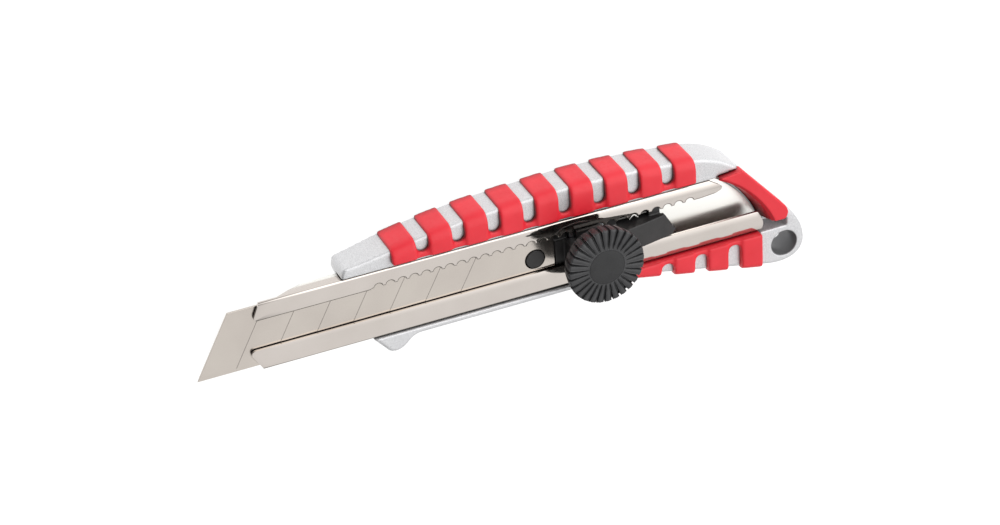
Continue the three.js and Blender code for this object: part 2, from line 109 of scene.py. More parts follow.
SKIRT_FOOT = [(161.9, 1.0), (160.4, 5.4), (156.4, 12.2), (149.9, 16.7)]
LUG_X, LUG_Y = 167.5, -6.8
LUG_HOLE_R = 3.75
LUG_HOLE_BACK_R = 3.2  # the cast hole is drafted
LUG_BACK = -6.8

PEG_X, PEG_Y = 94.5, BLADE_HIGH.y / 2
PEG_HOLE_R = 2.9
PEG_R = 2.6
BLADE_LEAN = BLADE_HIGH.y / math.tan(math.radians(61))
SEGMENT = 10  # from one score line to the next
SEGMENTS = 8
BEVEL = 1.3
SCORE_HALF = 0.09
SCORE_DEPTH = 0.07

KNOB_X = (KNOB_LOW.x + KNOB_HIGH.x) / 2
KNOB_Y = (KNOB_LOW.y + KNOB_HIGH.y) / 2
KNOB_R = (KNOB_HIGH.x - KNOB_LOW.x) / 2
KNOB_FACE = KNOB_HIGH.z - 0.12
KNOB_BASE = 7.8
KNOB_RIM = 0.5
GROOVES = 28
GROOVE_PITCH = 2 * math.pi / GROOVES
GROOVE_HALF = 0.22
BOLT_R = 2.4
PEDESTAL_TOP = 4.6
NECK_Y0, NECK_Y1 = LOWER_LIP_Y + GAP, 12.6
RIVETS_X = (50, 82)


# ---- outlines ----
def quadratic(a, b, c, steps=10):
    """Points on a curve from a to c, drawn towards b, without a itself."""
    points = []
    for i in range(1, steps + 1):
        t = i / steps
        points.append(tuple((1 - t) ** 2 * a[k] + 2 * t * (1 - t) * b[k] + t * t * c[k] for k in (0, 1)))
    return points


def cubic(a, b, c, d, steps=14):
    points = []
    for i in range(1, steps + 1):
        t = i / steps
        u = 1 - t
        points.append(tuple(
            u ** 3 * a[k] + 3 * u * u * t * b[k] + 3 * u * t * t * c[k] + t ** 3 * d[k] for k in (0, 1)
        ))
    return points


def arc(x, y, radius, start, end, steps=12):
    """Points on a circle from start to end, in degrees, with both ends."""
    angles = [math.radians(start + (end - start) * i / steps) for i in range(steps + 1)]
    return [(x + radius * math.cos(a), y + radius * math.sin(a)) for a in angles]


def flowing(points, steps=6):
    """A smooth curve through the points, without the first one."""
    padded = [points[0], *points, points[-1]]
    made = []
    for a, b, c, d in zip(padded, padded[1:], padded[2:], padded[3:]):
        for i in range(1, steps + 1):
            t = i / steps
            made.append(tuple(
                0.5 * (2 * b[k] + (c[k] - a[k]) * t + (2 * a[k] - 5 * b[k] + 4 * c[k] - d[k]) * t * t
                       + (3 * b[k] - a[k] - 3 * c[k] + d[k]) * t ** 3)
                for k in (0, 1)
            ))
    return made


SPINE = [
    (45.5, 22.7), (54, 24.1), (64, 25.9), (74, 27.2), (84, 28.0), (94, 28.5), (104, 28.9),
    (114, 28.8), (124, 28.4), (134, 27.5), (142, 26.6), (148.5, 24.5), (153.2, 21.6),
]


def handle_outline(grow=0.0, low=None):
    """The handle's outline, grown on its spine, tail and rail, and by low under the lug."""
    low = grow if low is None else low
    nose = (40.6, CHANNEL_HIGH.y + GAP)
    brow = (40.9, 21.2 + grow)
    spine = [(x, y + grow) for x, y in SPINE]
    tail = (169.8 + grow, 2.9 + grow)
    lug = (173.7 + grow, -6.6)
    heel = (162, -12.2 - low)
    rail = (61, RAIL_Y - grow)
    hook = (53.6, -6.6 - grow)
    return [
        (47.5, CHANNEL_LOW.y), nose,
        brow, *quadratic(brow, (41.1, 22.2 + grow), (42.4, 22.35 + grow), 5),
        spine[0], *flowing(spine), tail,
        *quadratic(tail, (173.6 + grow, -1.9), lug),
        *cubic(lug, (173.7 + grow, -11.0 - low), (169.5, -13.9 - low), heel),
        (119, RAIL_Y - grow), rail,
        *cubic(rail, (57.5, RAIL_Y - grow), (57.0, hook[1]), hook),
        *quadratic(hook, (51.9, hook[1]), (51.0, -5.2)),
    ]


def pocket_outline():
    corner = (163.8, 1.6)
    top = (147.4, CHANNEL_HIGH.y + GAP)
    return [
        (30, CHANNEL_LOW.y - GAP), (168.4, CHANNEL_LOW.y - GAP), (168.4, 1.4), corner,
        *cubic(corner, (161.8, 7.0), (156.0, 15.6), top),
        (30, CHANNEL_HIGH.y + GAP),
    ]


def tail_edge(grow=0.0):
    """The tail pad's outer edge, from the channel's rear round to the lug."""
    tip = (167.2 + grow, 6.1 + grow)
    return [
        (147.6 - grow, 19.7 + grow), (154.6, 20.5 + grow), tip,
        *quadratic(tip, (169.0 + grow, 3.4), (167.0 + grow, 1.9 - grow)),
        (164.0, 1.9 - grow),
    ]


def slot_outline(x, slots, up):
    """A slot between two bands: a round end, straight sides and a mouth past the handle's edge."""
    r = slots["width"] / 2
    side = 1 if up else -1
    y = slots["end"] + side * r
    far = side * 60
    return [(x - r, far), *arc(x, y, r, 180, 360 if up else 0, 16), (x + r, far)]


# ---- solids, in millimetres ----
def to_object(name, made):
    mesh = bpy.data.meshes.new(name)
    made.to_mesh(mesh)
    made.free()
    piece = bpy.data.objects.new(name, mesh)
    bpy.context.scene.collection.objects.link(piece)
    return piece


def between(name, rings, closed=False):
    """A solid skin over rings of equal length; the first and last are capped unless they meet."""
    made = bmesh.new()
    rows = [[made.verts.new(point) for point in ring] for ring in rings]
    pairs = list(zip(rows, rows[1:]))
    if closed:
        pairs.append((rows[-1], rows[0]))
    else:
        made.faces.new(rows[0])
        made.faces.new(rows[-1])
    for low, high in pairs:
        for i in range(len(low)):
            j = (i + 1) % len(low)
            made.faces.new((low[i], low[j], high[j], high[i]))
    bmesh.ops.recalc_face_normals(made, faces=made.faces)
    return to_object(name, made)


def prism(name, outline, z0, z1, front=0.0, back=0.0, steps=5):
    """An outline in X and Y raised from z0 to z1, with its front and back rims rounded."""
    piece = between(name, [[(x, y, z) for x, y in outline] for z in (z0, z1)])
    for side, width in ((1, front), (-1, back)):
        if width:
            round_rim(piece, side, width, steps)
    return piece


def round_rim(piece, side, width, steps):
    made = bmesh.new()
    made.from_mesh(piece.data)
    caps = [face for face in made.faces if face.normal.z * side > 0.9]
    edges = list({edge for cap in caps for edge in cap.edges})
    bmesh.ops.bevel(made, geom=edges, offset=width, segments=steps, profile=0.5, affect="EDGES")
    made.to_mesh(piece.data)
    made.free()


def side_prism(name, outline, y0, y1):
    """An outline in X and Z extruded along Y."""
    return between(name, [[(x, y, z) for x, z in outline] for y in (y0, y1)])


def block(name, low, high):
    outline = [(low[0], low[1]), (high[0], low[1]), (high[0], high[1]), (low[0], high[1])]
    return prism(name, outline, low[2], high[2])


def turned(name, x, y, profile, sides=64, closed=False):
    """A solid turned about the Z line through (x, y), from (radius, z) points."""
    rings = []
    for radius, z in profile:
        angles = [2 * math.pi * i / sides for i in range(sides)]
        rings.append([(x + radius * math.cos(a), y + radius * math.sin(a), z) for a in angles])
    return between(name, rings, closed)


def settled_mesh(piece):
    """Applies the piece's modifiers."""
    graph = bpy.context.evaluated_depsgraph_get()
    mesh = bpy.data.meshes.new_from_object(
        piece.evaluated_get(graph), preserve_all_data_layers=True, depsgraph=graph
    )
    piece.modifiers.clear()
    piece.data = mesh


def combine(piece, operation, *tools, solver="EXACT"):
    for tool in tools:
        step = piece.modifiers.new("boolean", "BOOLEAN")
        step.operation = operation
        step.solver = solver
        step.object = tool
        settled_mesh(piece)
        bpy.data.objects.remove(tool)
    return piece


def cut(piece, *tools, solver="EXACT"):
    return combine(piece, "DIFFERENCE", *tools, solver=solver)


def join(piece, *tools):
    return combine(piece, "UNION", *tools)


def keep_inside(piece, tool):
    return combine(piece, "INTERSECT", tool)


def soften(piece, voxel, rounds, keep=1.0):
    """Rebuilds the skin on a fine grid and relaxes it, which rounds every edge as a moulding is."""
    remesh = piece.modifiers.new("remesh", "REMESH")
    remesh.mode = "VOXEL"
    remesh.voxel_size = voxel
    relax = piece.modifiers.new("relax", "SMOOTH")
    relax.factor = 0.5
    relax.iterations = rounds
    settled_mesh(piece)
    return thin_out(piece, keep)


def thin_out(piece, keep):
    """Leaves about keep of the triangles."""
    if keep < 1:
        thin = piece.modifiers.new("thin", "DECIMATE")
        thin.ratio = keep
        settled_mesh(piece)
    return piece


def ease(piece, width, angle=38, segments=2):
    """Breaks the sharp edges by width, as on a pressed or ground piece."""
    step = piece.modifiers.new("bevel", "BEVEL")
    step.width = width
    step.segments = segments
    step.limit_method = "ANGLE"
    step.angle_limit = math.radians(angle)
    step.use_clamp_overlap = True
    settled_mesh(piece)
    return piece


def finish(piece, body, nodes, material, sharp=35):
    """Puts a piece in the CAD's frame, shades it, gives it its material, hangs it on its body and hides the
    CAD nodes it replaces.
    """
    piece.data.transform(Matrix.Translation(ORIGIN) @ Matrix.Scale(MM, 4))
    for polygon in piece.data.polygons:
        polygon.use_smooth = True
    piece.data.set_sharp_from_angle(angle=math.radians(sharp))
    piece.data.materials.clear()
    piece.data.materials.append(material)
    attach(piece, body)
    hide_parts(*nodes)
    return piece


# ---- materials ----
def new_material(name, color, metallic, roughness):
    material = bpy.data.materials.new(name)
    material.use_nodes = True
    shader = material.node_tree.nodes["Principled BSDF"]
    shader.inputs["Base Color"].default_value = (*color, 1)
    shader.inputs["Metallic"].default_value = metallic
    shader.inputs["Roughness"].default_value = roughness
    return material, material.node_tree.nodes, material.node_tree.links, shader


def place_nodes(nodes, links, stretch=(1, 1, 1)):
    """The surface's place in millimetres, stretched per axis."""
    where = nodes.new("ShaderNodeTexCoord")
    scale = nodes.new("ShaderNodeMapping")
    scale.inputs["Scale"].default_value = [s / MM for s in stretch]
    links.new(where.outputs["Object"], scale.inputs["Vector"])
    return scale.outputs["Vector"]


def noise(nodes, links, where, per_mm, detail=3.0, roughness=0.5):
    made = nodes.new("ShaderNodeTexNoise")
    made.inputs["Scale"].default_value = per_mm
    made.inputs["Detail"].default_value = detail
    made.inputs["Roughness"].default_value = roughness
    links.new(where, made.inputs["Vector"])
    return made.outputs["Fac"]


def mapped(nodes, links, value, low, high, start=0.3, stop=0.7):
    made = nodes.new("ShaderNodeMapRange")
    made.inputs["From Min"].default_value = start
    made.inputs["From Max"].default_value = stop
    made.inputs["To Min"].default_value = low
    made.inputs["To Max"].default_value = high
    links.new(value, made.inputs["Value"])
    return made.outputs["Result"]


def tint(nodes, links, value, first, second):
    made = nodes.new("ShaderNodeMix")
    made.data_type = "RGBA"
    made.inputs["A"].default_value = (*first, 1)
    made.inputs["B"].default_value = (*second, 1)
    links.new(value, made.inputs["Factor"])
    return made.outputs["Result"]


def painted_corner_shade(nodes, links, color, reach_mm, dark):
    """Darkens a colour in its nearby gaps and corners: painted shade where the corners' shadow falls."""
    near = nodes.new("ShaderNodeAmbientOcclusion")
    near.samples = 8
    near.inputs["Distance"].default_value = reach_mm * MM
    depth = mapped(nodes, links, near.outputs["AO"], dark, 1.0, 0.35, 0.95)
    shade = nodes.new("ShaderNodeMix")
    shade.data_type = "RGBA"
    shade.blend_type = "MULTIPLY"
    shade.inputs["Factor"].default_value = 1.0
    links.new(color, shade.inputs["A"])
    links.new(depth, shade.inputs["B"])
    return shade.outputs["Result"]


def bump(nodes, links, shader, height, strength, depth_mm):
    made = nodes.new("ShaderNodeBump")
    made.inputs["Strength"].default_value = strength
    made.inputs["Distance"].default_value = depth_mm * MM
    links.new(height, made.inputs["Height"])
    links.new(made.outputs["Normal"], shader.inputs["Normal"])


def silver_paint():
    """Metallic paint with fine flakes; the lanyard hole's wall is painted dark grey, a painted shade for the
    shadowed bore.
    """
    material, nodes, links, shader = new_material("silver_paint", (0.6, 0.6, 0.61), 0.4, 0.3)
    where = place_nodes(nodes, links)
    flakes = nodes.new("ShaderNodeTexVoronoi")
    flakes.inputs["Scale"].default_value = 7.0
    links.new(where, flakes.inputs["Vector"])
    sparkle = mapped(nodes, links, flakes.outputs["Color"], 0.0, 1.0, 0.1, 0.9)
    paint = tint(nodes, links, sparkle, (0.56, 0.56, 0.57), (0.8, 0.8, 0.81))
    flat = nodes.new("ShaderNodeVectorMath")
    flat.operation = "MULTIPLY"
    flat.inputs[1].default_value = (1, 1, 0)
    links.new(where, flat.inputs[0])
    reach = nodes.new("ShaderNodeVectorMath")
    reach.operation = "DISTANCE"
    reach.inputs[1].default_value = ((ORIGIN.x / MM + LUG_X), (ORIGIN.y / MM + LUG_Y), 0)
    links.new(flat.outputs["Vector"], reach.inputs[0])
    hole_shade_mask = mapped(nodes, links, reach.outputs["Value"], 0, 1, LUG_HOLE_R + 0.15, LUG_HOLE_R + 0.3)
    # Painted shade: inside the lanyard hole the paint is dark grey, standing in for the bore's shadow.
    blend = nodes.new("ShaderNodeMix")
    blend.data_type = "RGBA"
    blend.inputs["A"].default_value = (0.2, 0.2, 0.205, 1)
    links.new(hole_shade_mask, blend.inputs["Factor"])
    links.new(paint, blend.inputs["B"])
    # Painted shade in the paint's nearby corners and gaps.
    links.new(painted_corner_shade(nodes, links, blend.outputs["Result"], 0.5, 0.5), shader.inputs["Base Color"])
    links.new(mapped(nodes, links, flakes.outputs["Color"], 0.3, 0.38, 0.1, 0.9), shader.inputs["Roughness"])
    bump(nodes, links, shader, noise(nodes, links, where, 1.6, 4.0, 0.6), 0.25, 0.02)
    return material


def red_rubber(name, reach_mm, dark):
    """Soft red rubber with painted shade within reach_mm of a corner, down to dark."""
    material, nodes, links, shader = new_material(name, (0.8, 0.03, 0.05), 0.0, 0.42)
    where = place_nodes(nodes, links)
    clouds = noise(nodes, links, where, 0.12, 2.0)
    shade = tint(nodes, links, mapped(nodes, links, clouds, 0, 1), (0.79, 0.015, 0.03), (0.86, 0.024, 0.042))
    # Painted shade: the colour darkens near corners and walls, where their shadow falls.
    links.new(painted_corner_shade(nodes, links, shade, reach_mm, dark), shader.inputs["Base Color"])
    wear = noise(nodes, links, where, 1.1, 3.0)
    links.new(mapped(nodes, links, wear, 0.36, 0.5), shader.inputs["Roughness"])
    bump(nodes, links, shader, noise(nodes, links, where, 7.0, 3.0, 0.6), 0.18, 0.02)
    return material


def steel(name, color, dark, roughness, grain, stretch, inner_light=None):
    """Bare steel with a directional grain, faint smudges and painted shade in its corners.

    inner_light is the colour of the channel's inside: painted light, brighter than the lips; the inside is
    also made rougher.
    """
    material, nodes, links, shader = new_material(name, color, 1.0, roughness)
    where = place_nodes(nodes, links)
    lines = noise(nodes, links, place_nodes(nodes, links, stretch), 1.0, 5.0, 0.65)
    smudge = noise(nodes, links, where, 0.09, 3.0)
    gloss = mapped(nodes, links, smudge, roughness * 1.25, roughness * 0.8)
    shade = tint(nodes, links, mapped(nodes, links, smudge, 0, 1), dark, color)
    if inner_light:
        # Painted light: below the lips the steel is painted brighter, and it is also made rougher.
        parts = nodes.new("ShaderNodeSeparateXYZ")
        links.new(where, parts.inputs["Vector"])
        level = ORIGIN.z / MM
        inside = mapped(nodes, links, parts.outputs["Z"], 1, 0, level - 2.2, level - 1.6)
        blend = nodes.new("ShaderNodeMix")
        blend.data_type = "RGBA"
        blend.inputs["B"].default_value = (*inner_light, 1)
        links.new(inside, blend.inputs["Factor"])
        links.new(shade, blend.inputs["A"])
        shade = blend.outputs["Result"]
        dull = nodes.new("ShaderNodeMix")
        dull.inputs["B"].default_value = INNER_ROUGHNESS
        links.new(inside, dull.inputs["Factor"])
        links.new(gloss, dull.inputs["A"])
        gloss = dull.outputs["Result"]
    # Painted shade near gaps and corners, such as under the lips' edges.
    links.new(painted_corner_shade(nodes, links, shade, 0.6, 0.15), shader.inputs["Base Color"])
    links.new(gloss, shader.inputs["Roughness"])
    bump(nodes, links, shader, lines, grain, 0.01)
    return material


def black_plastic(name, color, light, roughness):
    material, nodes, links, shader = new_material(name, color, 0.0, roughness)
    where = place_nodes(nodes, links)
    clouds = noise(nodes, links, where, 0.35, 3.0)
    shade = tint(nodes, links, mapped(nodes, links, clouds, 0, 1), color, light)
    links.new(shade, shader.inputs["Base Color"])
    links.new(mapped(nodes, links, noise(nodes, links, where, 2.2), roughness * 0.85, roughness * 1.2),
              shader.inputs["Roughness"])
    bump(nodes, links, shader, noise(nodes, links, where, 9.0, 2.0), 0.15, 0.02)
    return material


INNER_ROUGHNESS = 0.28
SILVER = silver_paint()
# Three copies of the red rubber, differing only in how far and how deep their painted corner shade reaches.
RED = red_rubber("red_rubber", 3.8, 0.03)
BELLY_RED = red_rubber("belly_rubber", 0.8, 0.5)
TAIL_RED = red_rubber("tail_rubber", 5.0, 0.12)
# The channel's inside is painted brighter than its lips, a painted light, and is rougher.
CHANNEL_STEEL = steel(
    "channel_steel", (0.64, 0.59, 0.55), (0.6, 0.55, 0.51), 0.07, 0.02, (0.05, 3.0, 3.0), (0.9, 0.89, 0.85)
)
# Painted shade: a dark steel for the chamfer along the upper lip's notched edge, standing in for the shadowed
# gap between lip and blade.
NOTCH_SHADE_STEEL = steel("notch_shade_steel", (0.3, 0.27, 0.245), (0.22, 0.2, 0.18), 0.5, 0.1, (3.0, 3.0, 3.0))
BLADE_STEEL = steel("blade_steel", (0.6, 0.55, 0.5), (0.56, 0.51, 0.465), 0.15, 0.12, (2.5, 0.08, 2.5))
SPRING_STEEL = steel("spring_steel", (0.72, 0.7, 0.67), (0.66, 0.64, 0.61), 0.22, 0.08, (0.2, 3.0, 3.0))
ZINC_STEEL = steel("zinc_steel", (0.58, 0.58, 0.6), (0.5, 0.5, 0.52), 0.32, 0.1, (2.0, 2.0, 0.3))
BRASS = steel("insert_brass", (0.62, 0.43, 0.17), (0.55, 0.36, 0.13), 0.28, 0.1, (1.0, 1.0, 4.0))
SLIDER_BLACK = black_plastic("slider_black", (0.019, 0.018, 0.018), (0.028, 0.026, 0.026), 0.42)
KNOB_BLACK = black_plastic("knob_black", (0.03, 0.03, 0.032), (0.045, 0.045, 0.047), 0.4)
DISC_BLACK = black_plastic("disc_black", (0.015, 0.015, 0.016), (0.02, 0.02, 0.021), 0.5)


# ---- the handle ----
def handle_casting():
    body = prism("handle_casting", handle_outline(), BODY_BACK, BODY_FRONT, BODY_ROUND, BODY_ROUND)
    taper = side_prism("taper", [
        (150, -20), (150, BODY_BACK - 0.5), (159, LUG_BACK), (190, LUG_BACK), (190, -20),
    ], -40, 60)
    nose = side_prism("nose_taper", [(30, -20), (30, -5.8), (57, BODY_BACK - 0.1), (57, -20)], -40, 60)
    cut(
        body,
        prism("pocket", pocket_outline(), POCKET_FLOOR, 10),
        prism("seat", [*tail_edge(GAP), (150, 8)], -0.6, 10),
        turned("lug_hole", LUG_X, LUG_Y, [
            (LUG_HOLE_BACK_R, LUG_BACK - 1), (LUG_HOLE_BACK_R, LUG_BACK),
            (LUG_HOLE_R, BODY_FRONT), (LUG_HOLE_R, 10),
        ]),
        taper,
        nose,
        block(
            "lining_seat",
            (LOWER_LOW.x, LOWER_HIGH.y - 0.5, LINING_BACK - 0.1), (LOWER_HIGH.x, LOWER_HIGH.y + 1, 10),
        ),
    )
    soften(body, 0.3, 2, 0.45)
    return finish(body, "handle", ["handle_body"], SILVER, 50)


def soft_sleeve(name, low, high, edge, proud, slots):
    """Soft bands over the handle's front and rim, from low.x to high.x, joined by a strip at edge.

    The bands are rounded as one thick block, which is then hollowed to fit the casting.
    """
    up = edge > 0
    block_y = sorted((edge, math.copysign(60, edge)))
    front = GRIP_ROUND if up else BELLY_ROUND
    outline = handle_outline(GRIP_PROUD, proud)
    piece = prism(name, outline, GRIP_BACK, GRIP_FRONT, front, GRIP_BACK_ROUND, 8)
    keep_inside(piece, block("reach", (low.x, block_y[0], -30), (high.x, block_y[1], 30)))
    for i in range(slots["count"]):
        x = slots["first"] + i * slots["pitch"]
        cut(piece, prism("slot", slot_outline(x, slots, up), -30, 30))
        dip = sorted((edge - math.copysign(2, edge), slots["end"] + math.copysign(1, edge)))
        half = slots["width"] / 2 + 0.2
        cut(piece, block("dip", (x - half, dip[0], GRIP_FRONT - 0.5), (x + half, dip[1], 10)))
    soften(piece, 0.25, 36)
    core = prism("core", handle_outline(-GRIP_SUNK), BODY_BACK - 5, BODY_FRONT - GRIP_SUNK)
    if not up:
        cut(core, block("lining", (low.x - 1, edge - 0.7, LINING_BACK), (high.x + 1, edge + 1, 10)))
    cut(piece, core, solver="MANIFOLD")
    return thin_out(piece, 0.35)


def soft_grips():
    upper = soft_sleeve("spine_grip", UPPER_LOW, UPPER_HIGH, UPPER_LOW.y, GRIP_PROUD, UPPER_SLOTS)
    finish(upper, "handle", ["upper_grip"], RED, 60)
    lower = soft_sleeve("belly_grip", LOWER_LOW, LOWER_HIGH, LOWER_HIGH.y + 0.25, LUG_PROUD, LOWER_SLOTS)
    finish(lower, "handle", ["lower_grip"], BELLY_RED, 60)


def tail_pad():
    """The soft pad on the tail slope, with an inner wall that slopes down to the channel's end."""
    steps = 24
    start, end = (164.0, 1.9), (147.6, 19.7)
    piece = prism("tail_pad", [*tail_edge(), *cubic(start, (162.0, 7.2), (156.3, 15.6), end, steps)[:-1]],
                  TAIL_BACK, GRIP_FRONT)
    curves = (SKIRT_ROOT, SKIRT_WALL, SKIRT_FOOT)
    root, wall, foot = ([points[0], *cubic(*points, steps)] for points in curves)
    slope = [tuple(a + (b - a) * SKIRT_SHARE for a, b in zip(top, low)) for top, low in zip(wall, foot)]
    levels = [
        (wall, root, GRIP_FRONT - 0.8), (slope, root, TAIL_BACK),
        (slope, wall, TAIL_BACK - 0.05), (foot, wall, POCKET_FLOOR + 0.1),
    ]
    join(piece, between("skirt", [
        [(x, y, z) for x, y in [*inner_light, *reversed(outer)]] for inner_light, outer, z in levels
    ]))
    soften(piece, 0.25, 8, 0.6)
    return finish(piece, "handle", ["tail_grip"], TAIL_RED, 60)


# ---- the blade channel ----
def fold_section(x, inset, back):
    """One cross-section of the folded channel, with rounded folds."""
    y0, y1 = CHANNEL_LOW.y + inset, CHANNEL_HIGH.y - inset
    z0, z1 = back + inset, CHANNEL_HIGH.z - inset
    radius = FOLD - inset
    corners = ((y0, z1, 180, 90), (y1, z1, 90, 0), (y1, z0, 0, -90), (y0, z0, 270, 180))
    ring = []
    for y, z, start, end in corners:
        cy = y + radius if y == y0 else y - radius
        cz = z + radius if z == z0 else z - radius
        ring.extend((x, py, pz) for py, pz in arc(cy, cz, radius, start, end, 6))
    return ring


def folded_tube(name, inset, x0, x1):
    stations = [(x0, NOSE_BACK), (32, NOSE_BACK), (44, CHANNEL_LOW.z), (x1, CHANNEL_LOW.z)]
    return between(name, [fold_section(x, inset, back) for x, back in stations])


def channel_ends():
    a, b = (16.6, 15.3), (17.5, 14.0)
    c, d = (16.3, 5.25), (14.9, 3.8)
    e, f, g = (160.4, CHANNEL_LOW.y), (161.0, 2.6), (149.6, 16.2)
    return [
        (18.2, CHANNEL_HIGH.y + 1), (18.2, CHANNEL_HIGH.y), a,
        *quadratic(a, (16.3, 14.0), b), (20, 14.0), (20, 5.25), c,
        *quadratic(c, (14.6, 5.2), d), (17.7, CHANNEL_LOW.y), (17.7, CHANNEL_LOW.y - 1),
        (160.0, CHANNEL_LOW.y - 1), e,
        *quadratic(e, (161.9, 0.6), f), *quadratic(f, (157.5, 10.5), g, 20),
        (145, CHANNEL_HIGH.y), (144, CHANNEL_HIGH.y + 1),
    ]


def lip_window(grow=0.0):
    """The opening between the lips; grow moves its notched upper edge back."""
    corner = (159.0, LOWER_LIP_Y)
    outline = [(0, LOWER_LIP_Y), corner, *quadratic(corner, (161.4, 5.0), (161.6, 2.4))]
    outline += [(180, 2.4), (180, 20), (144.8, 20), (149.2, 16.2)]
    outline += quadratic((149.2, 16.2), (149.2, 14.9), (146.5, 14.6 + grow)) + [(142.6, UPPER_LIP_Y + grow)]
    start = math.degrees(math.asin((NOTCH_RISE + grow) / (NOTCH_R + grow)))
    for i in reversed(range(NOTCH_COUNT)):
        x = NOTCH_X0 + i * NOTCH_PITCH
        outline += arc(x, UPPER_LIP_Y - NOTCH_RISE, NOTCH_R + grow, start, 180 - start, 14)
    return [*outline, (48.6, UPPER_LIP_Y + grow), (48.2, 14.0 + grow), (0, 14.0 + grow)]


def channel():
    body = folded_tube("steel_channel", 0.0, 10, 170)
    cut(body, folded_tube("hollow", SHEET, 9, 171))
    keep_inside(body, prism("ends", channel_ends(), -20, 20))
    cut(
        body,
        prism("window", lip_window(), LIP_UNDER - 0.35, 20),
        # A narrow chamfer along the notched edge, which takes the painted shade steel.
        between("notch_chamfer", [
            [(x, y, CHANNEL_HIGH.z + z) for x, y in lip_window(grow)]
            for grow, z in ((-0.06, -0.13), (0.3, 0.02))
        ]),
        side_prism("mouth", [
            (0, -9), (33, -9), (32, NOSE_BACK - 0.1), (27, -1.5),
            (23.2, LIP_UNDER - 0.1), (0, LIP_UNDER - 0.1),
        ], -10, 30),
    )
    for x in RIVETS_X:
        cut(body, rivet("countersink", x, 0.1))
    ease(body, 0.1)
    finish(body, "handle", ["blade_channel"], CHANNEL_STEEL, 32)
    body.data.materials.append(NOTCH_SHADE_STEEL)
    # Painted shade: the chamfer faces along the notched edge take the dark steel.
    top = at(0, 0, LIP_UNDER).z
    for face in body.data.polygons:
        if -0.6 < face.normal.y < -0.2 and face.normal.z > 0.6 and face.center.z > top:
            face.material_index = 1


def rivet(name, x, grow=0.0):
    top = CHANNEL_LOW.z + SHEET
    return turned(name, x, PEG_Y, [
        (1.4 + grow, BODY_BACK + 1.6), (1.4 + grow, CHANNEL_LOW.z), (2.4 + 2.5 * grow, top + (grow or -0.05)),
    ], 40)


# ---- the blade ----
def blade():
    width, thick = BLADE_HIGH.y, -BLADE_LOW.z
    length = BLADE_HIGH.x
    strip = prism("snap_blade", [(0, 0), (length, 0), (length, width), (BLADE_LEAN, width)], -thick, 0)
    middle = -thick / 2
    for side in (1, -1):
        edge = [(-1, middle + side * 0.03), (0, middle + side * 0.03), (BEVEL, middle + side * thick / 2),
                (BEVEL, middle + side * 2), (-1, middle + side * 2)]
        cut(strip, between("grind", [[(x, y, z) for y, z in edge] for x in (-20, 150)]))
    for i in range(1, SEGMENTS):
        cut(strip, score_line(i * SEGMENT))
    cut(strip, prism("peg_hole", arc(PEG_X, PEG_Y, PEG_HOLE_R, 0, 352, 44), -5, 5))
    ease(strip, 0.04, 50, 1)
    return finish(strip, "slider", ["blade"], BLADE_STEEL, 20)


def score_line(x):
    """A V groove along the slant that a segment snaps off at."""
    lean = BLADE_LEAN / BLADE_HIGH.y
    rings = []
    for y in (-1, BLADE_HIGH.y + 1):
        middle = x + y * lean
        rings.append([
            (middle - SCORE_HALF, y, 0.02), (middle, y, -SCORE_DEPTH), (middle + SCORE_HALF, y, 0.02),
        ])
    return between("score", rings)


# ---- the slider ----
def slider():
    under = PLATE_HIGH.z + 0.1
    foot_x0, foot_x1 = PLATE_HIGH.x + 0.5, 131
    ramp = side_prism("thumb_slider", [
        (103.2, under), (foot_x0, under), (foot_x0, -1), (foot_x1, -1), (foot_x1, under), (135.2, under),
        (135.2, CHANNEL_HIGH.z), (134, CHANNEL_HIGH.z),
        (116.6, PEDESTAL_TOP), (104.0, PEDESTAL_TOP), (103.2, 3.8),
    ], NECK_Y0, NECK_Y1)
    keep_inside(ramp, prism("end", [
        (90, 0), (133.9, 0), (133.9, NECK_Y0), (135.2, 7.0), (131.9, NECK_Y1), (131.9, 20), (90, 20),
    ], -5, 20))
    tongue = [(104.2, 4), (104.2, 14), *arc(PEG_X, PEG_Y, 5, 90, 270, 20)]
    join(
        ramp,
        prism("tongue", tongue, -1.4, -0.6),
        prism("peg", arc(PEG_X, PEG_Y, PEG_R, 0, 350, 35), -1, 0.25),
        block("bridge", (100.4, NECK_Y0, -1.4), (104.2, NECK_Y1, 0)),
        block("flange", (106, 3.2, CHANNEL_HIGH.z + 0.1), (113.2, 15.2, 2.2)),
        block(
            "foot",
            (foot_x0, CHANNEL_LOW.y + SHEET + GAP, -2.9), (foot_x1, CHANNEL_HIGH.y - SHEET - GAP, 0.05),
        ),
    )
    cut(
        ramp,
        prism("bolt_hole", arc(KNOB_X, KNOB_Y, BOLT_R + 0.1, 0, 350, 35), -5, 20),
        block("spring_pocket", (118.2, NECK_Y1, -2.4), (127.8, 15.6, 10)),
    )
    soften(ramp, 0.2, 2, 0.4)
    return finish(ramp, "slider", ["slider"], SLIDER_BLACK, 45)


